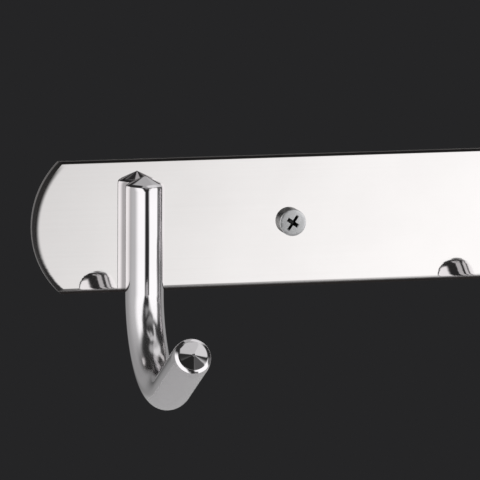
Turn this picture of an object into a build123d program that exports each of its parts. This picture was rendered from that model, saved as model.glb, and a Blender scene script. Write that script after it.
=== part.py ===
from build123d import *
import os
from math import cos, radians, sin, sqrt, tan

# Wall coat rack: a polished steel rail with welded bar hooks, held by two pan-head wall screws.
# Millimetres. X runs along the rail, Z is up, and the front of the rack faces -Y.
# The origin is the middle of the rail's flat back, which lies on the wall.

# Rail: one flat bar with its ends cut to an arc, where the polished face falls away a little to the edge.
RAIL_HEIGHT = 34.0
RAIL_DEPTH = 5.0
END_ARC_RADIUS = 24.0
END_OVERHANG = 28.0
END_FALL_WIDTH = 1.6
END_FALL_DEPTH = 0.25
LONG_EDGE_RADIUS = 0.4

# Hooks: round bar bent once, welded to the rail's face by its straight shank.
HOOK_COUNT = 4
HOOK_PITCH = 100.0
BAR_DIAMETER = 10.0
HOOK_TOP_DROP = 3.0
SHANK_LENGTH = 26.4
BEND_RADIUS = 21.5
ARM_RISE_ANGLE = 29.0
ARM_LENGTH = 22.3
WELD_LAND_WIDTH = 3.0

# Bar ends: a slight taper, a chamfered rim and a turned cone, blunt at the top and nearly flat at the tip.
TOP_CONE_ANGLE = 25.0
TIP_CONE_ANGLE = 12.0
END_TAPER_WIDTH = 0.35
END_TAPER_HEIGHT = 1.6
END_CHAMFER_WIDTH = 0.85
END_CHAMFER_HEIGHT = 0.5

# Wall screws: pan head with a cross recess, a plain neck through the rail and a shank of the thread's diameter.
SCREW_FROM_HOOK = 40.0
SCREW_DIAMETER = 3.5
SCREW_NECK_DIAMETER = 2.9
SCREW_LENGTH = 30.0
SCREW_POINT_LENGTH = 5.0
SCREW_HOLE_CLEARANCE = 0.35
HEAD_DIAMETER = 7.0
HEAD_HEIGHT = 2.6
HEAD_EDGE_CHAMFER = 0.2
RECESS_DIAMETER = 4.8
RECESS_FLOOR_DIAMETER = 1.4
RECESS_DEPTH = 1.7
RECESS_SLOT_WIDTH = 0.9
RECESS_TURNS = (56.0, 21.0)

bar_radius = BAR_DIAMETER / 2
taper_radius = bar_radius - END_TAPER_WIDTH
cone_radius = taper_radius - END_CHAMFER_WIDTH
rim_height = END_TAPER_HEIGHT + END_CHAMFER_HEIGHT
top_end_height = rim_height + cone_radius * tan(radians(TOP_CONE_ANGLE))
hook_xs = [(i - (HOOK_COUNT - 1) / 2) * HOOK_PITCH for i in range(HOOK_COUNT)]
rail_half_length = hook_xs[-1] + END_OVERHANG
screw_xs = (hook_xs[0] + SCREW_FROM_HOOK, hook_xs[-1] - SCREW_FROM_HOOK)
rail_front_y = -RAIL_DEPTH
hole_radius = SCREW_DIAMETER / 2 + SCREW_HOLE_CLEARANCE


def rail_outline():
    """Face on the wall plane: straight long edges and a circular arc at each end."""
    half_height = RAIL_HEIGHT / 2
    arc_centre_x = rail_half_length - END_ARC_RADIUS
    corner_x = arc_centre_x + sqrt(END_ARC_RADIUS**2 - half_height**2)
    edges = [
        Line((-corner_x, half_height), (corner_x, half_height)),
        ThreePointArc((corner_x, half_height), (rail_half_length, 0), (corner_x, -half_height)),
        Line((corner_x, -half_height), (-corner_x, -half_height)),
        ThreePointArc((-corner_x, -half_height), (-rail_half_length, 0), (-corner_x, half_height)),
    ]
    return Plane.XZ * make_face(edges)


def make_rail():
    """Flat bar with rounded long edges, a face that falls at both ends and a clearance hole for each wall screw."""
    bar = extrude(rail_outline(), RAIL_DEPTH)
    face = bar.faces().sort_by(Axis.Y)[0]
    end_arcs = face.edges().filter_by(GeomType.CIRCLE)
    bar = chamfer(end_arcs, END_FALL_WIDTH, END_FALL_DEPTH, reference=face)
    long_edges = bar.faces().sort_by(Axis.Y)[0].edges().filter_by(Axis.X)
    bar = fillet(long_edges, LONG_EDGE_RADIUS)
    holes = [
        Pos(x, rail_front_y / 2, 0) * Rot(X=90) * Cylinder(hole_radius, 2 * RAIL_DEPTH)
        for x in screw_xs
    ]
    return bar - holes


def make_bar_end(cone_angle):
    """Turned end of the bar, standing on its foot at the origin with its point up +Z."""
    cone_height = cone_radius * tan(radians(cone_angle))
    profile = make_face(
        Polyline(
            (0, 0),
            (bar_radius, 0),
            (taper_radius, END_TAPER_HEIGHT),
            (cone_radius, rim_height),
            (0, rim_height + cone_height),
            close=True,
        )
    )
    return revolve(Plane.XZ * profile, Axis.Z)


def make_hook(x):
    """Bent bar whose back is dressed flat where the shank is welded to the rail's face."""
    shank_y = rail_front_y - sqrt(bar_radius**2 - (WELD_LAND_WIDTH / 2) ** 2)
    top_z = RAIL_HEIGHT / 2 - HOOK_TOP_DROP - top_end_height
    bend_z = top_z - SHANK_LENGTH
    bend_angle = 90 + ARM_RISE_ANGLE
    arm = Vector(-cos(radians(ARM_RISE_ANGLE)), sin(radians(ARM_RISE_ANGLE)))
    shank_line = Line((shank_y, top_z), (shank_y, bend_z))
    bend_arc = JernArc((shank_y, bend_z), (0, -1), BEND_RADIUS, -bend_angle)
    arm_line = Line(bend_arc @ 1, (bend_arc @ 1) + arm * ARM_LENGTH)
    path = Plane.YZ * Wire([shank_line, bend_arc, arm_line])
    bar = sweep(Plane(origin=path @ 0, z_dir=path % 0) * Circle(bar_radius), path)
    top_end = Plane(origin=path @ 0, z_dir=-(path % 0)) * make_bar_end(TOP_CONE_ANGLE)
    tip_end = Plane(origin=path @ 1, z_dir=path % 1) * make_bar_end(TIP_CONE_ANGLE)
    land_cut = Pos(0, rail_front_y, -RAIL_HEIGHT / 2) * Box(
        BAR_DIAMETER, BAR_DIAMETER, 2 * RAIL_HEIGHT, align=(Align.CENTER, Align.MIN, Align.MIN)
    )
    return Pos(x, 0, 0) * (bar + top_end + tip_end - land_cut)


def make_cross_recess():
    """Cutter for the cross recess: two crossed slots, held inside a cone that narrows downwards from z = 0."""
    taper = Pos(0, 0, -RECESS_DEPTH / 2) * Cone(RECESS_FLOOR_DIAMETER / 2, RECESS_DIAMETER / 2, RECESS_DEPTH)
    slot = Box(RECESS_DIAMETER, RECESS_SLOT_WIDTH, 2 * RECESS_DEPTH)
    return taper & (slot + Rot(Z=90) * slot)


def make_screw(recess_turn):
    """Wall screw with its head's seat at z = 0, its head up +Z and its point down -Z."""
    head_radius = HEAD_DIAMETER / 2
    neck_radius = SCREW_NECK_DIAMETER / 2
    shank_radius = SCREW_DIAMETER / 2
    half_head = make_face(
        Polyline((0, 0), (head_radius, 0), (head_radius, HEAD_HEIGHT), (0, HEAD_HEIGHT), close=True)
    )
    front_corner = half_head.vertices().sort_by(Axis.X)[-2:].sort_by(Axis.Y)[-1]
    head = revolve(Plane.XZ * chamfer(front_corner, HEAD_EDGE_CHAMFER), Axis.Z)
    half_shank = make_face(
        Polyline(
            (0, 0),
            (neck_radius, 0),
            (neck_radius, -RAIL_DEPTH),
            (shank_radius, -RAIL_DEPTH),
            (shank_radius, SCREW_POINT_LENGTH - SCREW_LENGTH),
            (0, -SCREW_LENGTH),
            close=True,
        )
    )
    shank = revolve(Plane.XZ * half_shank, Axis.Z)
    recess = Pos(0, 0, HEAD_HEIGHT) * Rot(Z=recess_turn) * make_cross_recess()
    return head + shank - recess


os.makedirs("parts", exist_ok=True)
export_step(make_rail(), "parts/rail_plate.step")
export_step(Compound(children=[make_hook(x) for x in hook_xs]), "parts/hooks.step")
screws = [
    Pos(x, rail_front_y, 0) * Rot(X=90) * make_screw(turn) for x, turn in zip(screw_xs, RECESS_TURNS)
]
export_step(Compound(children=screws), "parts/wall_screws.step")
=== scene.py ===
"""Wall coat rack: a polished rail, bent bar hooks and wall screws, dressed for a studio picture."""
import logging
import math
from collections.abc import Callable, Iterator
from contextlib import contextmanager
from dataclasses import dataclass
from enum import Enum

import bmesh
import bpy
from mathutils import Matrix, Vector


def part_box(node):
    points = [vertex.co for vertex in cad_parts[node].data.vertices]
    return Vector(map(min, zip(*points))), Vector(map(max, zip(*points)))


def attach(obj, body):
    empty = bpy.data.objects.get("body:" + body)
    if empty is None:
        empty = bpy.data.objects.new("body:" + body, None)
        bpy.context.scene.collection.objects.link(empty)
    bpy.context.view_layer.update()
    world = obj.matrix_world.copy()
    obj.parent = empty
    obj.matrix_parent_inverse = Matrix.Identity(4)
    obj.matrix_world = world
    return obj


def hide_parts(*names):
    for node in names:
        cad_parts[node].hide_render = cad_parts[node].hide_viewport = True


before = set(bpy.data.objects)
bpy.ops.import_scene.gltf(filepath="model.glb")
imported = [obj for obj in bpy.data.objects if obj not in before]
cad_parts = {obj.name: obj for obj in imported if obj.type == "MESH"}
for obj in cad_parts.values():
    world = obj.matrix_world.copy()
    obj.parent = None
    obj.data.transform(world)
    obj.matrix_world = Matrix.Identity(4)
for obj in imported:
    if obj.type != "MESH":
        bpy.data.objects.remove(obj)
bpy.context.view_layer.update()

BODY = "root"
SAME_PLACE = 1e-5
DOUBLED = SAME_PLACE / 10
FACING = 0.9
FLAT = 0.9999
SHARP_DEGREES = 30.0
FULL_WEIGHT = 100
# Numbers of the mix node's sockets for colours: share, first and second colour, and the result.
MIX_INPUTS, MIX_OUTPUT = (0, 6, 7), 2
EVEN = (1.0, 1.0, 1.0)
WHITE = (1.0, 1.0, 1.0)
QUARTER_TURN_X = (math.pi / 2, 0.0, 0.0)

Pair = tuple[float, float]
Triple = tuple[float, float, float]
Piece = bpy.types.Object
Socket = bpy.types.NodeSocket

log = logging.getLogger("coat_rack")


class Node(Enum):
    """CAD nodes that the pieces stand for."""

    RAIL = "rail_plate"
    HOOKS = "hooks"
    SCREWS = "wall_screws"


class Slot(Enum):
    """Material slots of the record."""

    RAIL = "polished_rail"
    BAR = "polished_bar"
    SCREW = "screw_steel"


class Element(Enum):
    """Kinds of mesh element that can be picked in edit mode."""

    VERTEX = "VERT"
    EDGE = "EDGE"
    FACE = "FACE"


def select_only(piece: Piece) -> None:
    """Makes one object the active and only selected one.

    Args:
        piece: the object to select.
    """
    bpy.ops.object.select_all(action="DESELECT")
    piece.select_set(True)
    bpy.context.view_layer.objects.active = piece


@contextmanager
def editing(piece: Piece) -> Iterator[None]:
    """Holds one object in edit mode, with nothing picked at the start.

    Args:
        piece: the mesh object to edit.

    Returns:
        The context, left in object mode.
    """
    select_only(piece)
    bpy.ops.object.mode_set(mode="EDIT")
    bpy.ops.mesh.select_all(action="DESELECT")
    try:
        yield
    finally:
        bpy.ops.object.mode_set(mode="OBJECT")


def pick(piece: Piece, element: Element, wanted: Callable[[Vector, Vector], bool]) -> None:
    """Picks the elements of the object in edit mode that lie or face where they should.

    Args:
        piece: the object that is in edit mode.
        element: the kind of element to pick.
        wanted: a test of an element's middle and its normal.
    """
    bpy.ops.mesh.select_mode(type=element.value)
    bpy.ops.mesh.select_all(action="DESELECT")
    mesh = bmesh.from_edit_mesh(piece.data)
    if element is Element.VERTEX:
        found = [(v, v.co, v.normal) for v in mesh.verts]
    elif element is Element.EDGE:
        found = [
            (e, (e.verts[0].co + e.verts[1].co) / 2, (e.verts[0].normal + e.verts[1].normal) / 2)
            for e in mesh.edges
        ]
    else:
        found = [(f, f.calc_center_median(), f.normal) for f in mesh.faces]
    for item, middle, normal in found:
        if wanted(middle, normal):
            item.select_set(True)
    mesh.select_flush_mode()
    bmesh.update_edit_mesh(piece.data)


def pick_all() -> None:
    """Picks everything in the object that is in edit mode."""
    bpy.ops.mesh.select_all(action="SELECT")


def extrude_by(step: Vector) -> None:
    """Extrudes what is picked and moves it by a step in metres."""
    bpy.ops.mesh.extrude_region_move(TRANSFORM_OT_translate={"value": tuple(step)})


def scale_about(centre: Vector, factors: Triple) -> None:
    """Scales what is picked about a point by a factor along each axis."""
    bpy.ops.transform.resize(value=factors, center_override=tuple(centre))


def round_picked(size: float, steps: int) -> None:
    """Rounds the picked edges by a size in metres, in so many steps."""
    bpy.ops.mesh.bevel(offset=size, segments=steps, affect="EDGES")


def apply_modifier(piece: Piece, kind: str, **settings: object) -> None:
    """Adds a modifier to an object and applies it.

    Args:
        piece: the object to change.
        kind: Blender's name for the modifier.
        settings: the modifier's own settings.
    """
    select_only(piece)
    modifier = piece.modifiers.new(kind.lower(), kind)
    for name, value in settings.items():
        setattr(modifier, name, value)
    bpy.ops.object.modifier_apply(modifier=modifier.name)


def settle(piece: Piece) -> None:
    """Moves an object's place, turn and scale into its mesh."""
    select_only(piece)
    bpy.ops.object.transform_apply(location=True, rotation=True, scale=True)


def close_seams(piece: Piece) -> None:
    """Merges doubled vertices and turns all faces outwards.

    Args:
        piece: the object to clean.
    """
    with editing(piece):
        pick_all()
        bpy.ops.mesh.remove_doubles(threshold=DOUBLED)
        bpy.ops.mesh.normals_make_consistent(inside=False)


def smooth_by_angle(piece: Piece, degrees: float = SHARP_DEGREES) -> None:
    """Shades an object smooth, apart from its sharp edges, with flat faces kept flat.

    Args:
        piece: the object to shade.
        degrees: the angle past which an edge stays sharp.
    """
    select_only(piece)
    bpy.ops.object.shade_smooth_by_angle(angle=math.radians(degrees))
    apply_modifier(piece, "WEIGHTED_NORMAL", weight=FULL_WEIGHT, keep_sharp=True)


def subtract(piece: Piece, cutter: Piece) -> None:
    """Cuts a closed object out of another and removes the cutter."""
    apply_modifier(piece, "BOOLEAN", operation="DIFFERENCE", solver="EXACT", object=cutter)
    bpy.data.objects.remove(cutter, do_unlink=True)


def copy_along_x(piece: Piece, name: str, shift: float) -> Piece:
    """Copies an object with its own mesh and moves the copy along X.

    Args:
        piece: the object to copy.
        name: the copy's name.
        shift: the move along X, in metres.

    Returns:
        The copy.
    """
    twin = piece.copy()
    twin.data = piece.data.copy()
    twin.name = name
    bpy.context.collection.objects.link(twin)
    twin.location.x += shift
    settle(twin)
    return twin


class NodeBoard:
    """Adds nodes to one node tree and links them."""

    def __init__(self, tree: bpy.types.NodeTree) -> None:
        """Starts with the node tree of a material or world, emptied."""
        self.tree = tree
        tree.nodes.clear()

    def add(self, kind: str, feeds: dict | None = None, **settings: object) -> bpy.types.Node:
        """Adds one node.

        Args:
            kind: Blender's name for the node type.
            feeds: the socket or plain value that each input takes, by the input's name or number.
            settings: the node's own settings.

        Returns:
            The new node.
        """
        node = self.tree.nodes.new(kind)
        for name, value in settings.items():
            setattr(node, name, value)
        for name, value in (feeds or {}).items():
            if isinstance(value, Socket):
                self.tree.links.new(value, node.inputs[name])
            else:
                node.inputs[name].default_value = value
        return node

    def axes(self, place: Socket) -> tuple[Socket, ...]:
        """Takes coordinates apart into X, Y and Z sockets."""
        node = self.add("ShaderNodeSeparateXYZ", {"Vector": place})
        return tuple(node.outputs[axis] for axis in "XYZ")

    def math(self, operation: str, *values: object) -> Socket:
        """Works out one of Blender's math operations on sockets or plain numbers."""
        node = self.add("ShaderNodeMath", dict(enumerate(values)), operation=operation)
        return node.outputs[0]

    def distance(self, first: Socket, second: Socket) -> Socket:
        """Works out the distance that two legs at a right angle span."""
        squares = (self.math("MULTIPLY", leg, leg) for leg in (first, second))
        return self.math("SQRT", self.math("ADD", *squares))

    def fade(self, value: Socket, start: float, end: float, low: float = 0.0, high: float = 1.0) -> Socket:
        """Adds a smooth change from one level to another between two readings of a socket.

        Args:
            value: the socket that is read.
            start: the reading where the change begins.
            end: the reading where it ends.
            low: the level up to the start.
            high: the level from the end on.

        Returns:
            The output socket.
        """
        feeds = {"Value": value, "From Min": start, "From Max": end, "To Min": low, "To Max": high}
        node = self.add("ShaderNodeMapRange", feeds, interpolation_type="SMOOTHSTEP")
        return node.outputs["Result"]

    def fade_out(self, value: Socket, start: float, end: float) -> Socket:
        """Adds a smooth change from 1 down to 0 between two readings of a socket."""
        return self.fade(value, start, end, 1.0, 0.0)

    def noise(self, place: Socket, scale: float, detail: float, stretch: Triple = EVEN) -> Socket:
        """Adds a noise pattern on a stretched place.

        Args:
            place: the coordinates.
            scale: the number of grains per metre.
            detail: the number of finer layers.
            stretch: the scale along each axis.

        Returns:
            The pattern's level socket.
        """
        mapping = self.add("ShaderNodeMapping", {"Vector": place, "Scale": stretch})
        feeds = {"Vector": mapping.outputs["Vector"], "Scale": scale, "Detail": detail}
        return self.add("ShaderNodeTexNoise", feeds).outputs["Fac"]

    def mix(self, share: Socket, first: object, second: object) -> Socket:
        """Adds a mix of two colours.

        Args:
            share: how much of the second colour is taken.
            first: the first colour, as a socket or plain numbers.
            second: the second colour, as a socket or plain numbers.

        Returns:
            The mixed colour's socket.
        """
        colours = [tone if isinstance(tone, Socket) else (*tone, 1.0) for tone in (first, second)]
        feeds = dict(zip(MIX_INPUTS, (share, *colours)))
        return self.add("ShaderNodeMix", feeds, data_type="RGBA").outputs[MIX_OUTPUT]

    def ramp(self, value: Socket, stops: Pair, colours: tuple[Triple, Triple]) -> Socket:
        """Adds a ramp from one colour to another.

        Args:
            value: the socket from 0 to 1 that is read.
            stops: where the change begins and ends.
            colours: the colours at the two stops.

        Returns:
            The colour socket.
        """
        node = self.add("ShaderNodeValToRGB", {"Fac": value})
        for element, stop, colour in zip(node.color_ramp.elements, stops, colours):
            element.position = stop
            element.color = (*colour, 1.0)
        return node.outputs["Color"]

    def bump(self, height: Socket, depth: float, under: Socket | None = None) -> Socket:
        """Adds a fine relief of a depth in metres, over the normal of another relief if one is given."""
        feeds = {"Height": height, "Distance": depth} | ({"Normal": under} if under else {})
        return self.add("ShaderNodeBump", feeds).outputs["Normal"]

    def principled(self, feeds: dict) -> None:
        """Adds the material's shader, fed by the names of its inputs, and its output."""
        shader = self.add("ShaderNodeBsdfPrincipled", feeds)
        self.add("ShaderNodeOutputMaterial", {"Surface": shader.outputs["BSDF"]})


def start_material(name: str) -> tuple[bpy.types.Material, NodeBoard]:
    """Starts a material.

    Args:
        name: the material's name.

    Returns:
        The material and its empty board of nodes.
    """
    material = bpy.data.materials.new(name)
    material.use_nodes = True
    return material, NodeBoard(material.node_tree)


@dataclass(frozen=True)
class PaintedEdgeShade:
    """Finish of the rail's cut edges: painted dark reflection and satin in front, with a painted lighter band
    behind.

    Painted dark reflection also darkens the face above the lower edge.
    """

    half_height: float
    end_radius: float
    end_centre_x: float
    rim: Pair = (0.00012, 0.00022)
    foot: Pair = (0.0005, 0.0013)
    back_y: float = -0.0004
    back_fade: float = 1e-4
    band_y: Pair = (-0.0021, -0.0015)
    # Painted reflection: the edge colour is near-black in front and lighter in the band behind; the rim tint
    # dims the edge's reflection.
    colour: Triple = (0.045, 0.040, 0.039)
    painted_band_light: Triple = (0.58, 0.55, 0.545)
    painted_rim_tint: Triple = (0.65, 0.65, 0.65)
    roughness: float = 0.35

    def share(self, board: NodeBoard, place: tuple[Socket, ...]) -> Socket:
        """Works out where the painted dark reflection and the satin edge finish lie.

        Args:
            board: the material's nodes.
            place: the X, Y and Z sockets.

        Returns:
            The share from 0 to 1.
        """
        x, y, z = place
        past = board.math("SUBTRACT", board.math("ABSOLUTE", x), self.end_centre_x)
        reach = board.distance(board.math("MAXIMUM", past, 0.0), z)
        near, far = self.rim
        at_end = board.fade(reach, self.end_radius - far, self.end_radius - near)
        at_top = board.fade(z, self.half_height - far, self.half_height - near)
        # Painted dark reflection on the face just above the lower edge.
        painted_foot_shade = board.fade_out(z, *(rise - self.half_height for rise in self.foot))
        edge = board.math("MAXIMUM", board.math("MAXIMUM", at_end, at_top), painted_foot_shade)
        return board.math("MULTIPLY", edge, board.fade_out(y, self.back_y, self.back_y + self.back_fade))

    def tone(self, board: NodeBoard, y: Socket) -> Socket:
        """Gives the edge's painted colour, from the painted dark reflection in front to the painted lighter
        band behind.
        """
        return board.mix(board.fade(y, *self.band_y), self.colour, self.painted_band_light)


@dataclass(frozen=True)
class InnerBend:
    """Finish of the inside of a bend, where the polish is hazier and the metal has small ripples."""

    centre_y: float
    centre_z: float
    reach: Pair = (0.0185, 0.0205)
    rise: Pair = (-0.004, 0.001)
    roughness: float = 0.14
    ripple_scale: float = 330.0
    ripple_detail: float = 1.0
    ripple_depth: float = 2.0e-5

    def share(self, board: NodeBoard, place: tuple[Socket, ...]) -> Socket:
        """Works out where the inside of the bend lies.

        Args:
            board: the material's nodes.
            place: the X, Y and Z sockets.

        Returns:
            The share from 0 to 1.
        """
        _, y, z = place
        out = board.math("SUBTRACT", y, self.centre_y)
        up = board.math("SUBTRACT", z, self.centre_z)
        inside = board.fade_out(board.distance(out, up), *self.reach)
        return board.math("MULTIPLY", inside, board.fade_out(up, *self.rise))


@dataclass(frozen=True)
class ScrewHead:
    """Finish of the screws' heads: painted shade darkens the recess, and the side is darker than the face."""

    screw_x: float
    face_y: float = -0.0074
    floor_y: float = -0.0056
    depth_fade: float = 2e-4
    recess_radius: float = 0.0026
    # Painted shade: the recess is painted near-black.
    painted_recess_shade: float = 0.04
    side_radius: float = 0.0033
    side_fade: float = 1e-4
    side_grey: float = 0.24

    def over(self, board: NodeBoard, place: tuple[Socket, ...], colour: Socket) -> Socket:
        """Lays the painted shade in the recess and the darker side over the steel.

        Args:
            board: the material's nodes.
            place: the X, Y and Z sockets.
            colour: the steel's colour.

        Returns:
            The colour with both laid over it.
        """
        x, y, z = place
        reach = board.distance(board.math("SUBTRACT", board.math("ABSOLUTE", x), self.screw_x), z)
        inside = board.fade_out(reach, self.recess_radius, self.recess_radius + SAME_PLACE)
        sunk = board.fade(y, self.face_y, self.face_y + self.depth_fade)
        above_floor = board.fade_out(y, self.floor_y, self.floor_y + self.depth_fade)
        deep = board.math("MULTIPLY", inside, board.math("MULTIPLY", sunk, above_floor))
        at_side = board.fade(reach, self.side_radius, self.side_radius + self.side_fade)
        darker_side = board.math("MULTIPLY", sunk, at_side)
        # Painted shade in the recess, then the side made darker.
        colour = board.mix(deep, colour, (self.painted_recess_shade,) * 3)
        return board.mix(darker_side, colour, (self.side_grey,) * 3)


@dataclass(frozen=True)
class PolishedSteel:
    """Mirror-polished steel: fine polishing lines, faint haze and a slight wave in the surface.

    What lies behind back_y, towards the wall, is left satin. A lean tips the polish by a slope along X and Z.
    """

    name: str
    pale: Triple
    deep: Triple
    clear_roughness: float
    hazy_roughness: float
    line_stretch: Triple
    wave_depth: float
    lean: Pair | None = None
    back_y: float | None = None
    satin_roughness: float = 0.32
    haze_scale: float = 60.0
    haze_detail: float = 4.0
    haze_stops: Pair = (0.35, 0.65)
    haze_fade: Pair = (0.40, 0.72)
    line_scale: float = 900.0
    line_detail: float = 2.0
    line_depth: float = 2.0e-6
    wave_scale: float = 28.0
    wave_detail: float = 1.0

    def material(
        self, edges: PaintedEdgeShade | None = None, bend: InnerBend | None = None, head: ScrewHead | None = None
    ) -> bpy.types.Material:
        """Builds the finish as shader nodes.

        Args:
            edges: the painted dark reflection and satin finish of the piece's cut edges, if it has any.
            bend: the finish of the inside of its bend, if it has one.
            head: the finish of its head, with painted shade in the recess, if it is a screw.

        Returns:
            The material.
        """
        steel, board = start_material(self.name)
        feeds = {"Metallic": 1.0}
        place = board.add("ShaderNodeTexCoord").outputs["Object"]
        x, y, z = axes = board.axes(place)
        haze = board.noise(place, self.haze_scale, self.haze_detail)
        lines = board.noise(place, self.line_scale, self.line_detail, self.line_stretch)
        wave = board.noise(place, self.wave_scale, self.wave_detail)
        colour = board.ramp(haze, self.haze_stops, (self.deep, self.pale))
        roughness = board.fade(haze, *self.haze_fade, self.clear_roughness, self.hazy_roughness)
        if self.back_y is not None:
            behind = board.fade(y, self.back_y, self.back_y + SAME_PLACE, 0.0, self.satin_roughness)
            roughness = board.math("MAXIMUM", roughness, behind)
        if head is not None:
            # Painted shade in the screw recess.
            colour = head.over(board, axes, colour)
        if edges is not None:
            # Painted dark reflection on the cut edges and above the foot, with a painted lighter band behind.
            edge = edges.share(board, axes)
            colour = board.mix(edge, colour, edges.tone(board, y))
            feeds["Specular Tint"] = board.mix(edge, WHITE, edges.painted_rim_tint)
            roughness = board.math("MAXIMUM", roughness, board.math("MULTIPLY", edge, edges.roughness))
        if bend is not None:
            inner = bend.share(board, axes)
            roughness = board.math("MULTIPLY_ADD", inner, bend.roughness, roughness)
            ripple = board.math("MULTIPLY", inner, board.noise(place, bend.ripple_scale, bend.ripple_detail))
            wave = board.math("MULTIPLY_ADD", ripple, bend.ripple_depth / self.wave_depth, wave)
        if self.lean is not None:
            for axis, slope in zip((x, z), self.lean):
                wave = board.math("MULTIPLY_ADD", axis, slope / self.wave_depth, wave)
        normal = board.bump(lines, self.line_depth, board.bump(wave, self.wave_depth))
        board.principled(feeds | {"Base Color": colour, "Roughness": roughness, "Normal": normal})
        return steel


RAIL_FINISH = PolishedSteel(
    name="polished_rail",
    pale=(0.83, 0.807, 0.801),
    deep=(0.81, 0.787, 0.781),
    clear_roughness=0.015,
    hazy_roughness=0.035,
    line_stretch=(0.02, 1.0, 1.0),
    wave_depth=1.0e-5,
    lean=(0.0105, -0.0145),
    back_y=-0.0002,
)
BAR_FINISH = PolishedSteel(
    name="polished_bar",
    pale=(0.83, 0.808, 0.825),
    deep=(0.79, 0.768, 0.785),
    clear_roughness=0.015,
    hazy_roughness=0.04,
    line_stretch=(1.0, 1.0, 0.03),
    wave_depth=1.0e-5,
)
SCREW_FINISH = PolishedSteel(
    name="screw_steel",
    pale=(0.72, 0.72, 0.73),
    deep=(0.64, 0.64, 0.655),
    clear_roughness=0.26,
    hazy_roughness=0.36,
    line_stretch=EVEN,
    wave_depth=3.0e-5,
    haze_scale=700.0,
)


def dress(piece: Piece, finish: bpy.types.Material, node: Node) -> None:
    """Gives a finished piece its material and its place in the frame.

    Args:
        piece: the finished object.
        finish: its material.
        node: the CAD node that it stands for.
    """
    piece.data.materials.clear()
    piece.data.materials.append(finish)
    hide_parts(node.value)
    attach(piece, BODY)
    log.info("%s: %d faces", piece.name, len(piece.data.polygons))


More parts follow.
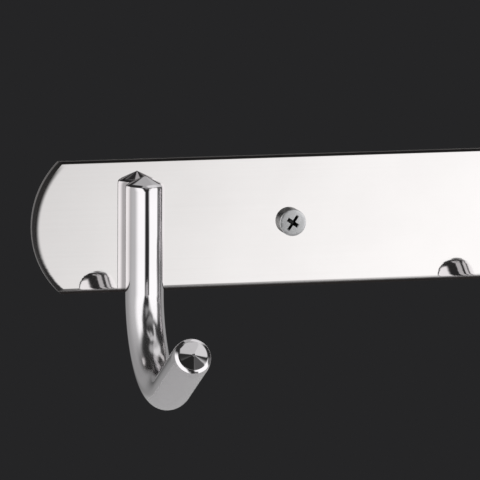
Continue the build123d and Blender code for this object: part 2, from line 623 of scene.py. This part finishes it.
@dataclass
class Rail:
    """Polished flat bar with its ends cut to an arc and its face falling a little to them and to its foot."""

    end_radius: float = 0.024
    arc_steps: int = 24
    level_degrees: float = 0.1
    edge_round: float = 0.0001
    edge_steps: int = 4
    back_round: float = 0.0002
    back_steps: int = 2
    fall_width: float = 0.0014
    end_fall: float = 0.00003
    foot_fall: float = 0.000075
    corner_rise: float = 0.0018
    fall_rings: int = 8
    fall_cuts: tuple[float, ...] = (0.0144, 0.0150, 0.0156, 0.0162)
    hole_radius: float = 0.0021
    hole_vertices: int = 64
    drill_depths: int = 4

    def __post_init__(self) -> None:
        """Takes the outer sizes from the CAD rail."""
        low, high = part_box(Node.RAIL.value)
        self.half_height = high.z
        self.front_y = low.y
        self.wall_y = high.y
        self.centre_x = high.x - self.end_radius

    def build(self, hole_xs: tuple[float, ...]) -> Piece:
        """Cuts the bar to its outline, breaks its edges and drills it.

        Args:
            hole_xs: the X places of the screw holes.

        Returns:
            The rail.
        """
        rail = self._outline()
        self._thicken(rail)
        self._round_edges(rail)
        self._fall_at_ends(rail)
        for x in hole_xs:
            subtract(rail, self._drill(x))
        smooth_by_angle(rail)
        return rail

    def dress(self, rail: Piece) -> None:
        """Gives the rail its polish and the painted dark reflection on its cut edges."""
        edges = PaintedEdgeShade(self.half_height, self.end_radius, self.centre_x)
        dress(rail, RAIL_FINISH.material(edges=edges), Node.RAIL)

    def _outline(self) -> Piece:
        """Draws the rail's flat face from half a strip whose end is spun to an arc, and mirrors it.

        Returns:
            The flat face.
        """
        centre_x = -self.centre_x
        half_angle = math.asin(self.half_height / self.end_radius)
        corner_x = centre_x - self.end_radius * math.cos(half_angle)
        bpy.ops.mesh.primitive_plane_add(
            size=1.0, location=(corner_x / 2, self.front_y, 0.0), rotation=QUARTER_TURN_X
        )
        rail = bpy.context.active_object
        rail.name = "rail"
        rail.scale = (-corner_x, 2 * self.half_height, 1.0)
        settle(rail)
        with editing(rail):
            pick(rail, Element.VERTEX, lambda middle, _: middle.x < corner_x / 2 and middle.z > 0.0)
            bpy.ops.mesh.spin(
                steps=self.arc_steps,
                angle=2 * half_angle,
                center=(centre_x, self.front_y, 0.0),
                axis=(0.0, 1.0, 0.0),
            )
            pick_all()
            bpy.ops.mesh.remove_doubles(threshold=SAME_PLACE)
            pick(rail, Element.EDGE, lambda middle, _: middle.x < corner_x + SAME_PLACE)
            bpy.ops.mesh.edge_face_add()
        apply_modifier(rail, "MIRROR", merge_threshold=SAME_PLACE)
        return rail

    def _thicken(self, rail: Piece) -> None:
        """Gives the flat outline its depth back to the wall.

        Args:
            rail: the flat outline.
        """
        with editing(rail):
            pick_all()
            bpy.ops.mesh.dissolve_limited(angle_limit=math.radians(self.level_degrees))
            pick_all()
            extrude_by(Vector((0.0, self.wall_y - self.front_y, 0.0)))
        close_seams(rail)

    def _round_edges(self, rail: Piece) -> None:
        """Rounds the edges of the front and the back, and rings the face for its fall at the ends.

        Args:
            rail: the sharp-edged bar.
        """
        rounds = (
            (self.front_y, self.edge_round, self.edge_steps),
            (self.wall_y, self.back_round, self.back_steps),
        )
        with editing(rail):
            for y, size, steps in rounds:
                pick(rail, Element.EDGE, lambda middle, _: abs(middle.y - y) < SAME_PLACE)
                round_picked(size, steps)
            pick(rail, Element.FACE, lambda _, normal: normal.y < -FLAT)
            for _ in range(self.fall_rings):
                bpy.ops.mesh.inset(thickness=self.fall_width / self.fall_rings, depth=0.0)
            for cut in self.fall_cuts:
                for x in (-self.centre_x - cut, self.centre_x + cut):
                    pick_all()
                    bpy.ops.mesh.bisect(
                        plane_co=(x, 0.0, 0.0), plane_no=(1.0, 0.0, 0.0), threshold=DOUBLED
                    )

    def _fall_at_ends(self, rail: Piece) -> None:
        """Lets the face fall away towards both end arcs and the lower edge, more and more steeply.

        Args:
            rail: the bar with its rings.
        """
        for vertex in rail.data.vertices:
            x, y, z = vertex.co
            past = max(abs(x) - self.centre_x, 0.0)
            if y < self.front_y + self.edge_round:
                peak = min(1.0, (self.half_height - z) / self.corner_rise)
                to_end = max(0.0, 1.0 - (self.end_radius - math.hypot(past, z)) / self.fall_width)
                to_foot = max(0.0, 1.0 - (self.half_height + z) / self.fall_width)
                vertex.co.y += max(peak * self.end_fall * to_end**2, self.foot_fall * to_foot**2)

    def _drill(self, x: float) -> Piece:
        """Makes the cutter for one screw hole.

        Args:
            x: the hole's place along the rail.

        Returns:
            The cutter.
        """
        bpy.ops.mesh.primitive_cylinder_add(
            vertices=self.hole_vertices,
            radius=self.hole_radius,
            depth=self.drill_depths * (self.wall_y - self.front_y),
            location=(x, self.front_y, 0.0),
            rotation=QUARTER_TURN_X,
        )
        cutter = bpy.context.active_object
        settle(cutter)
        return cutter


@dataclass(frozen=True)
class BarEnd:
    """Turned end of a hook's bar: a slight taper, a chamfered rim and a cone."""

    cone_degrees: float
    taper_width: float
    taper_height: float
    chamfer_width: float
    chamfer_height: float
    taper_round: float
    taper_steps: int = 6
    edge_break: float = 0.0001
    edge_steps: int = 4
    cone_rings: int = 8

    def height(self, radius: float) -> float:
        """Works out how far taper, chamfer and cone reach past a bar of some radius."""
        base = radius - self.taper_width - self.chamfer_width
        return self.taper_height + self.chamfer_height + base * math.tan(math.radians(self.cone_degrees))

    def form(self, centre: Vector, direction: Vector, radius: float) -> None:
        """Turns the end on the picked ring of a hook that is in edit mode.

        Args:
            centre: the middle of the picked ring.
            direction: the bar's direction out of the ring.
            radius: the ring's radius.
        """
        neck = radius - self.taper_width
        base = neck - self.chamfer_width
        rims = [(self.taper_height, neck), (self.taper_height + self.chamfer_height, base)]
        rise = self.height(radius) - rims[-1][0]
        for ring in range(1, self.cone_rings):
            share = ring / self.cone_rings
            rims.append((rims[1][0] + share * rise, base * (1.0 - share)))
        reached, width = 0.0, radius
        for height, wanted in rims:
            extrude_by(direction * (height - reached))
            scale_about(centre + direction * height, (wanted / width,) * 3)
            reached, width = height, wanted
        extrude_by(direction * (self.height(radius) - reached))
        bpy.ops.mesh.merge(type="CENTER")

    def break_edges(self, hook: Piece, foot: Vector, direction: Vector) -> None:
        """Rounds the start of the taper and takes the sharpness off both edges of the chamfer.

        Args:
            hook: the hook, in edit mode.
            foot: the middle of the ring where the taper starts.
            direction: the bar's direction out of the ring.
        """
        rims = (
            (0.0, self.taper_round, self.taper_steps),
            (self.taper_height, self.edge_break, self.edge_steps),
            (self.taper_height + self.chamfer_height, self.edge_break, self.edge_steps),
        )
        for height, size, steps in rims:
            pick(
                hook,
                Element.EDGE,
                lambda middle, _: abs((middle - foot).dot(direction) - height) < SAME_PLACE,
            )
            round_picked(size, steps)


TOP_END = BarEnd(
    cone_degrees=25.0,
    taper_width=0.00012,
    taper_height=0.0006,
    chamfer_width=0.00075,
    chamfer_height=0.00055,
    taper_round=0.0004,
)
TIP_END = BarEnd(
    cone_degrees=12.0,
    taper_width=0.00035,
    taper_height=0.0016,
    chamfer_width=0.00085,
    chamfer_height=0.0005,
    taper_round=0.0010,
)


@dataclass
class Hook:
    """Round bar bent once, with its back dressed flat where it is welded to the rail's face.

    The shank is longer than the CAD's by as much as the top end is shorter.
    """

    front_y: float
    rail_half_height: float
    top_end: BarEnd = TOP_END
    tip_end: BarEnd = TIP_END
    bar_radius: float = 0.005
    top_drop: float = 0.003
    shank_length: float = 0.0271961
    bend_radius: float = 0.0215
    rise_degrees: float = 29.0
    arm_length: float = 0.0223
    land_width: float = 0.003
    ring_vertices: int = 128
    bend_steps: int = 72
    sharp_degrees: float = 25.0

    def _top(self, x: float) -> Vector:
        """Gives the middle of the bar where its upper end begins.

        Args:
            x: the hook's place along the rail.

        Returns:
            The point.
        """
        shank_y = self.front_y - math.sqrt(self.bar_radius**2 - (self.land_width / 2) ** 2)
        end_height = self.top_end.height(self.bar_radius)
        return Vector((x, shank_y, self.rail_half_height - self.top_drop - end_height))

    def build(self, x: float) -> Piece:
        """Bends one hook.

        Args:
            x: its place along the rail.

        Returns:
            The hook.
        """
        rise = math.radians(self.rise_degrees)
        down = Vector((0.0, 0.0, -1.0))
        arm = Vector((0.0, -math.cos(rise), math.sin(rise)))
        top = self._top(x)
        bend_centre = top + down * self.shank_length + Vector((0.0, -self.bend_radius, 0.0))
        arm_start = bend_centre + Vector((0.0, -math.sin(rise), -math.cos(rise))) * self.bend_radius
        tip = arm_start + arm * self.arm_length
        bpy.ops.mesh.primitive_circle_add(
            vertices=self.ring_vertices, radius=self.bar_radius, fill_type="NGON", location=top
        )
        hook = bpy.context.active_object
        settle(hook)
        with editing(hook):
            pick_all()
            extrude_by(down * self.shank_length)
            bpy.ops.mesh.spin(
                steps=self.bend_steps,
                angle=math.pi / 2 + rise,
                center=bend_centre,
                axis=(1.0, 0.0, 0.0),
            )
            extrude_by(arm * self.arm_length)
            self.tip_end.form(tip, arm, self.bar_radius)
            pick(hook, Element.FACE, lambda middle, _: (middle - top).length < SAME_PLACE)
            self.top_end.form(top, -down, self.bar_radius)
        close_seams(hook)
        with editing(hook):
            self.top_end.break_edges(hook, top, -down)
            self.tip_end.break_edges(hook, tip, arm)
            pick(
                hook,
                Element.VERTEX,
                lambda middle, _: middle.y > self.front_y and middle.z > -self.rail_half_height,
            )
            scale_about(Vector((x, self.front_y, 0.0)), (1.0, 0.0, 1.0))
        smooth_by_angle(hook, self.sharp_degrees)
        return hook

    def dress(self, hooks: list[Piece]) -> None:
        """Gives the hooks their polish, which is hazier inside the bend.

        Args:
            hooks: the finished hooks.
        """
        top = self._top(0.0)
        bend = InnerBend(top.y - self.bend_radius, top.z - self.shank_length)
        bar = BAR_FINISH.material(bend=bend)
        for hook in hooks:
            dress(hook, bar, Node.HOOKS)


@dataclass
class WallScrew:
    """Pan-head screw with a cross recess and a coarse tapping thread."""

    front_y: float
    head_radius: float = 0.0035
    head_height: float = 0.0026
    head_vertices: int = 96
    edge_round: float = 0.00015
    edge_steps: int = 4
    dome_rise: float = 0.00006
    dome_rings: tuple[Pair, ...] = ((0.8, 0.36), (0.55, 0.70), (0.28, 0.92))
    neck_radius: float = 0.00145
    neck_length: float = 0.005
    length: float = 0.030
    point_length: float = 0.005
    thread_radius: float = 0.00175
    root_radius: float = 0.00118
    thread_pitch: float = 0.0013
    outline_cuts: int = 6
    crest_share: float = 0.1
    turn_steps: int = 28
    recess_arms: tuple[Pair, ...] = ((0.0051, 0.0008), (0.0037, 0.0011))
    recess_floor: float = 0.0012
    recess_narrowing: float = 0.6
    recess_depth: float = 0.0017
    recess_overcut: float = 0.0002

    def build(self, x: float, turn_degrees: float) -> Piece:
        """Makes one screw and drives it home in the rail.

        Args:
            x: its place along the rail.
            turn_degrees: how far its recess is turned.

        Returns:
            The screw.
        """
        screw = self._head()
        for quarter, (width, thickness) in zip((0.0, 90.0), self.recess_arms):
            subtract(screw, self._slot_cutter(turn_degrees + quarter, width, thickness))
        smooth_by_angle(screw)
        thread = self._thread()
        select_only(screw)
        thread.select_set(True)
        bpy.ops.object.join()
        screw.rotation_euler = QUARTER_TURN_X
        screw.location = (x, self.front_y, 0.0)
        settle(screw)
        return screw

    def dress(self, screws: list[Piece], screw_x: float) -> None:
        """Gives the screws their steel, with painted shade in the recess.

        Args:
            screws: the finished screws.
            screw_x: how far from the rail's middle they are.
        """
        steel = SCREW_FINISH.material(head=ScrewHead(screw_x))
        for screw in screws:
            dress(screw, steel, Node.SCREWS)

    def _head(self) -> Piece:
        """Turns the head and neck from a disc, with the seat at z = 0 and the head up.

        Returns:
            The head with its neck.
        """
        up = Vector((0.0, 0.0, 1.0))
        bpy.ops.mesh.primitive_circle_add(
            vertices=self.head_vertices, radius=self.head_radius, fill_type="NGON"
        )
        screw = bpy.context.active_object
        rim_z = self.head_height - self.dome_rise
        with editing(screw):
            pick_all()
            extrude_by(up * rim_z)
            radius, z = self.head_radius, rim_z
            for share, rise in self.dome_rings:
                bpy.ops.mesh.inset(thickness=radius - share * self.head_radius, depth=0.0)
                radius = share * self.head_radius
                bpy.ops.transform.translate(value=up * (rim_z + rise * self.dome_rise - z))
                z = rim_z + rise * self.dome_rise
        close_seams(screw)
        with editing(screw):
            pick(screw, Element.FACE, lambda middle, normal: normal.z < -FACING and middle.z < SAME_PLACE)
            bpy.ops.mesh.inset(thickness=self.head_radius - self.neck_radius, depth=0.0)
            extrude_by(-up * (self.neck_length + self.thread_pitch / 2))
            pick(
                screw,
                Element.EDGE,
                lambda middle, _: abs(middle.z - rim_z) < SAME_PLACE
                and middle.xy.length > self.head_radius - self.edge_round,
            )
            round_picked(self.edge_round, self.edge_steps)
        return screw

    def _slot_cutter(self, turn_degrees: float, width: float, thickness: float) -> Piece:
        """Makes the cutter for one arm of the cross recess, narrower at its floor.

        Args:
            turn_degrees: the arm's turn about the screw.
            width: the arm's length across the head's face.
            thickness: its thickness.

        Returns:
            The cutter.
        """
        bpy.ops.mesh.primitive_cube_add(
            size=1.0,
            location=(0.0, 0.0, self.head_height + (self.recess_overcut - self.recess_depth) / 2),
            scale=(width, thickness, self.recess_depth + self.recess_overcut),
        )
        cutter = bpy.context.active_object
        settle(cutter)
        floor = Vector((0.0, 0.0, self.head_height - self.recess_depth))
        with editing(cutter):
            pick(cutter, Element.FACE, lambda _, normal: normal.z < -FACING)
            scale_about(floor, (self.recess_floor / width, self.recess_narrowing, 1.0))
        cutter.rotation_euler = (0.0, 0.0, math.radians(turn_degrees))
        settle(cutter)
        return cutter

    def _thread(self) -> Piece:
        """Winds the thread from one pitch of its outline and draws it out to a point.

        Returns:
            The thread.
        """
        half_pitch = self.thread_pitch / 2
        turns = math.ceil((self.length - self.neck_length) / self.thread_pitch)
        middle_x = self.root_radius - half_pitch
        crest_z = -self.neck_length - turns * self.thread_pitch + half_pitch
        bpy.ops.mesh.primitive_plane_add(
            size=self.thread_pitch, location=(middle_x, 0.0, crest_z), rotation=QUARTER_TURN_X
        )
        thread = bpy.context.active_object
        settle(thread)
        with editing(thread):
            pick(thread, Element.VERTEX, lambda middle, _: middle.x < middle_x)
            bpy.ops.mesh.delete(type="VERT")
            pick_all()
            bpy.ops.mesh.subdivide(number_cuts=self.outline_cuts)
            crest = self.crest_share * self.thread_pitch
            pick(thread, Element.VERTEX, lambda middle, _: abs(middle.z - crest_z) < crest)
            bpy.ops.transform.translate(value=(self.thread_radius - self.root_radius, 0.0, 0.0))
        apply_modifier(
            thread,
            "SCREW",
            axis="Z",
            angle=2 * math.pi,
            screw_offset=self.thread_pitch,
            iterations=turns,
            steps=self.turn_steps,
            render_steps=self.turn_steps,
            use_merge_vertices=True,
            merge_threshold=DOUBLED,
        )
        self._draw_point(thread)
        close_seams(thread)
        smooth_by_angle(thread)
        return thread

    def _draw_point(self, thread: Piece) -> None:
        """Tapers the thread to the screw's point and fades it out towards the neck.

        Args:
            thread: the thread at its full size.
        """
        for vertex in thread.data.vertices:
            z = max(vertex.co.z, -self.length)
            taper = min(1.0, (z + self.length) / self.point_length)
            fade = min(1.0, (-self.neck_length - z) / self.thread_pitch)
            radius = vertex.co.xy.length
            core = min(radius, self.root_radius)
            wanted = taper * (core + max(0.0, fade) * (radius - core))
            vertex.co.x *= wanted / radius
            vertex.co.y *= wanted / radius
            vertex.co.z = z


@dataclass(frozen=True)
class Board:
    """One board or flag of the studio, given by the directions that it fills, in degrees.

    Azimuth 0 is straight in front of the rack, and positive azimuths lie towards +X. Each edge is the pair of
    angles between which the board fades in or out. A lean is the azimuth that a side edge gains with each
    degree of elevation, and a slope is the elevation that the board gains with each degree of azimuth.
    """

    level: float
    left: Pair = (-200.0, -190.0)
    right: Pair = (190.0, 200.0)
    bottom: Pair = (-100.0, -95.0)
    top: Pair = (95.0, 100.0)
    left_lean: float = 0.0
    right_lean: float = 0.0
    slope: float = 0.0

    def share(self, board: NodeBoard, azimuth: Socket, elevation: Socket) -> Socket:
        """Works out how far the board fills a direction.

        Args:
            board: the world's nodes.
            azimuth: the direction's azimuth in degrees.
            elevation: its elevation in degrees.

        Returns:
            The share from 0 to 1.
        """
        left = board.math("MULTIPLY_ADD", elevation, -self.left_lean, azimuth)
        right = board.math("MULTIPLY_ADD", elevation, -self.right_lean, azimuth)
        height = board.math("MULTIPLY_ADD", azimuth, -self.slope, elevation)
        past_left, before_right = board.fade(left, *self.left), board.fade_out(right, *self.right)
        over_bottom, under_top = board.fade(height, *self.bottom), board.fade_out(height, *self.top)
        across = board.math("MULTIPLY", past_left, before_right)
        upright = board.math("MULTIPLY", over_bottom, under_top)
        return board.math("MULTIPLY", across, upright)


# Level, then the left, right, bottom and top edges, then the leans. Each board covers the ones before it.
BOARDS = (
    # Low ground all round.
    Board(0.42, top=(-20.0, -10.0)),
    # Grey walls on the left, then the left white board.
    Board(0.32, (-188.0, -158.0), (-60.0, -50.0), (-24.0, -12.0), (12.0, 40.0)),
    Board(0.56, (-150.0, -80.0), (-60.0, -40.0), (-28.0, -16.0), (34.0, 54.0)),
    Board(1.2, (-82.0, -50.0), (-23.0, -13.0), (-28.0, -20.0), (34.0, 52.0), -0.4, -0.65),
    # Greys on the right and behind, and the ceiling.
    Board(0.52, (46.0, 64.0), (150.0, 166.0), (44.0, 56.0)),
    Board(0.15, (66.0, 74.0), (100.0, 112.0), (-24.0, -16.0), (14.0, 20.0)),
    Board(0.36, (98.0, 108.0), (134.0, 150.0), (-24.0, -16.0), (12.0, 22.0)),
    Board(0.66, (108.0, 120.0), (146.0, 166.0), (14.0, 26.0)),
    Board(0.82, (86.0, 108.0), (136.0, 150.0), (40.0, 54.0)),
    Board(0.47, left=(142.0, 150.0), bottom=(26.0, 40.0)),
    Board(0.47, right=(-168.0, -158.0), bottom=(32.0, 44.0)),
    Board(0.4, bottom=(76.0, 84.0)),
    # A grey patch in front and the right white board, with a grey edge.
    Board(0.28, (-16.0, -6.0), (28.0, 42.0), (8.0, 14.0), (30.0, 48.0)),
    Board(0.705, (8.5, 12.5), (60.0, 70.0), (-28.0, -20.0), (10.0, 32.0), left_lean=0.2),
    Board(1.2, (13.0, 20.5), (62.0, 71.0), (-28.0, -20.0), (22.0, 33.0), left_lean=0.6),
    # Dark flags under the right white board.
    Board(0.05, (0.0, 6.0), (24.0, 30.0), top=(-17.5, -11.5)),
    Board(0.03, (-2.0, 2.0), (9.0, 18.5), top=(-9.7, -8.5)),
    # Small flags and boards that the hooks' tips show.
    Board(0.02, (-30.0, -22.0), (12.0, 16.0), (22.0, 24.0), (31.0, 33.0), slope=-0.55),
    Board(0.1, (12.0, 16.0), (34.0, 38.0), (12.0, 14.0), (20.0, 22.0), slope=0.25),
    Board(0.5, (3.0, 9.0), (30.0, 35.0), (53.5, 56.5), (60.0, 62.0)),
    Board(0.62, (-17.0, -13.0), (14.0, 18.0), (57.0, 59.5), (66.5, 69.0), slope=0.5),
    Board(0.62, (13.0, 17.0), (58.0, 62.0), (65.5, 68.0), (76.0, 78.0), slope=-0.2),
    Board(0.75, (7.0, 10.0), (22.0, 25.0), (34.5, 37.0), (60.0, 64.0), 0.75, 0.75),
)


@dataclass(frozen=True)
class Floor:
    """Plain pale round floor with a rolled edge and a faint grain."""

    z: float = -0.30
    radius: float = 0.80
    vertices: int = 192
    depth: float = 0.01
    edge_round: float = 0.004
    edge_steps: int = 5
    grey: float = 0.80
    grain_share: float = 0.985
    grain_scale: float = 300.0
    grain_detail: float = 3.0
    grain_stops: Pair = (0.3, 0.7)
    roughness: float = 0.9

    def build(self) -> None:
        """Lays the floor as part of the stage."""
        bpy.ops.mesh.primitive_circle_add(
            vertices=self.vertices, radius=self.radius, fill_type="NGON", location=(0.0, 0.0, self.z)
        )
        floor = bpy.context.active_object
        floor.name = "floor"
        settle(floor)
        with editing(floor):
            pick_all()
            extrude_by(Vector((0.0, 0.0, -self.depth)))
        close_seams(floor)
        with editing(floor):
            pick(floor, Element.EDGE, lambda middle, _: abs(middle.z - self.z) < SAME_PLACE)
            round_picked(self.edge_round, self.edge_steps)
        smooth_by_angle(floor)
        self.dress(floor)

    def dress(self, floor: Piece) -> None:
        """Paints the floor.

        Args:
            floor: the finished floor.
        """
        pale, board = start_material("pale_floor")
        place = board.add("ShaderNodeTexCoord").outputs["Object"]
        grain = board.noise(place, self.grain_scale, self.grain_detail)
        tones = ((self.grey * self.grain_share,) * 3, (self.grey,) * 3)
        colour = board.ramp(grain, self.grain_stops, tones)
        board.principled({"Base Color": colour, "Roughness": self.roughness})
        floor.data.materials.append(pale)


@dataclass(frozen=True)
class OverheadLamp:
    """One large soft lamp over the floor, which the metal doesn't show."""

    width: float = 1.6
    depth: float = 1.2
    energy: float = 9.0
    place: Triple = (0.0, -0.2, 1.6)

    def build(self) -> None:
        """Hangs the lamp."""
        light = bpy.data.lights.new("overhead_lamp", "AREA")
        light.shape = "RECTANGLE"
        light.size = self.width
        light.size_y = self.depth
        light.energy = self.energy
        lamp = bpy.data.objects.new("overhead_lamp", light)
        lamp.location = self.place
        lamp.visible_glossy = False
        bpy.context.collection.objects.link(lamp)


@dataclass(frozen=True)
class Room:
    """Boards round the rack, seen in the metal, and the plain backdrop behind it."""

    level: float = 0.03
    boards: tuple[Board, ...] = BOARDS
    backdrop: Triple = (0.0185, 0.0185, 0.0195)

    def build(self) -> None:
        """Sets the boards and the backdrop as the scene's world."""
        world = bpy.data.worlds.new("studio")
        bpy.context.scene.world = world
        world.use_nodes = True
        board = NodeBoard(world.node_tree)
        x, y, z = board.axes(board.add("ShaderNodeTexCoord").outputs["Generated"])
        turn = board.math("ARCTAN2", x, board.math("MULTIPLY", y, -1.0))
        azimuth = board.math("MULTIPLY", turn, math.degrees(1.0))
        elevation = board.math("MULTIPLY", board.math("ARCSINE", z), math.degrees(1.0))
        room = (self.level,) * 3
        for panel in self.boards:
            room = board.mix(panel.share(board, azimuth, elevation), room, (panel.level,) * 3)
        shaders = [
            board.add("ShaderNodeBackground", {"Color": colour}).outputs["Background"]
            for colour in (room, (*self.backdrop, 1.0))
        ]
        seen = board.add("ShaderNodeLightPath").outputs["Is Camera Ray"]
        choose = board.add("ShaderNodeMixShader", dict(enumerate((seen, *shaders))))
        board.add("ShaderNodeOutputWorld", {"Surface": choose.outputs["Shader"]})


@dataclass(frozen=True)
class PhotoCamera:
    """Camera at the photograph's viewing angle."""

    left_degrees: float = 14.191
    above_degrees: float = 9.567
    roll_degrees: float = 0.38
    distance: float = 1.5
    target: Triple = (-0.123503, -0.005, -0.004469)
    lens: float = 433.8

    def build(self) -> None:
        """Places the camera and makes it the scene's own."""
        left, above, roll = map(math.radians, (self.left_degrees, self.above_degrees, self.roll_degrees))
        forward = Vector(
            (math.sin(left) * math.cos(above), math.cos(left) * math.cos(above), -math.sin(above))
        )
        level = Vector((math.cos(left), -math.sin(left), 0.0))
        upright = level.cross(forward)
        right = level * math.cos(roll) + upright * math.sin(roll)
        up = upright * math.cos(roll) - level * math.sin(roll)
        data = bpy.data.cameras.new("photo_camera")
        data.lens = self.lens
        camera = bpy.data.objects.new("photo_camera", data)
        bpy.context.collection.objects.link(camera)
        turn = Matrix((right, up, -forward)).transposed().to_4x4()
        camera.matrix_world = Matrix.Translation(Vector(self.target) - forward * self.distance) @ turn
        bpy.context.scene.camera = camera


@dataclass(frozen=True)
class CoatRack:
    """The whole rack: one rail, four hooks and two wall screws."""

    hook_xs: tuple[float, ...] = (-0.15, -0.05, 0.05, 0.15)
    screw_xs: tuple[float, ...] = (-0.11, 0.11)
    screw_turns: tuple[float, ...] = (56.0, 21.0)

    def build(self) -> None:
        """Builds and dresses each piece."""
        rail = Rail()
        rail.dress(rail.build(self.screw_xs))
        hook = Hook(front_y=rail.front_y, rail_half_height=rail.half_height)
        first = hook.build(self.hook_xs[0])
        first.name = "hook_1"
        hooks = [first]
        for number, x in enumerate(self.hook_xs[1:], start=2):
            hooks.append(copy_along_x(first, f"hook_{number}", x - self.hook_xs[0]))
        hook.dress(hooks)
        screw = WallScrew(front_y=rail.front_y)
        screws = [screw.build(x, turn) for x, turn in zip(self.screw_xs, self.screw_turns)]
        for number, piece in enumerate(screws, start=1):
            piece.name = f"wall_screw_{number}"
        screw.dress(screws, self.screw_xs[-1])


def main() -> None:
    """Builds the rack, the studio and the camera in order."""
    logging.basicConfig(level=logging.INFO, format="%(name)s: %(message)s")
    bpy.context.scene.view_settings.view_transform = "Standard"
    CoatRack().build()
    for part in (Floor(), OverheadLamp(), Room(), PhotoCamera()):
        part.build()


if __name__ == "__main__":
    main()
